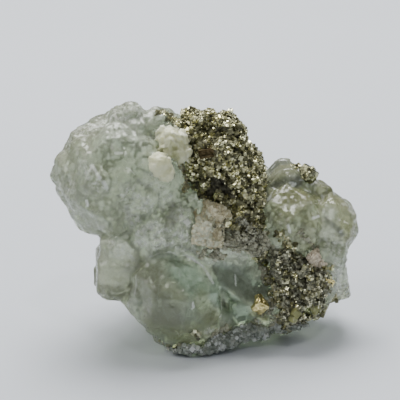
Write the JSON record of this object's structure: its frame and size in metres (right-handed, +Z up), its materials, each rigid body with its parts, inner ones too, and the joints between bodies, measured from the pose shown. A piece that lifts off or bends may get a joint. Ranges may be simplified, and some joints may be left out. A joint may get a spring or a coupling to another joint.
{
  "type": "fluorite with pyrite specimen",
  "caption": "Hand specimen: rounded pale green fluorite crystals grown together, with granular brassy pyrite in the valley between them and a sugary quartz rim.",
  "frame": {"origin": "under the middle of the specimen's bounding box, on the surface that it rests on", "axes": "+X to the right along the specimen's length as the picture shows it, +Y away from the viewer, +Z up"},
  "size_m": [0.062, 0.0384, 0.0479],
  "materials": {
    "green_fluorite": "pale green, translucent, glossy with veils inside",
    "pyrite": "brassy, granular, dark between bright facets",
    "tan_calcite": "sugary, dull",
    "milky_fluorite": "milky, satin",
    "white_quartz": "sugary, sparkling"
  },
  "bodies": {
    "root": {"fluorite_cluster": "green_fluorite", "pyrite_mass": "pyrite", "pyrite_patch": "pyrite", "pyrite_crystal_front": "pyrite", "pyrite_crystal_top_right": "pyrite", "pyrite_crystal_corner": "pyrite", "calcite_patch": "tan_calcite", "calcite_spot": "tan_calcite", "milky_crystal_upper": "milky_fluorite", "milky_crystal_lower": "milky_fluorite", "quartz_rim": "white_quartz"}
  },
  "joints": []
}
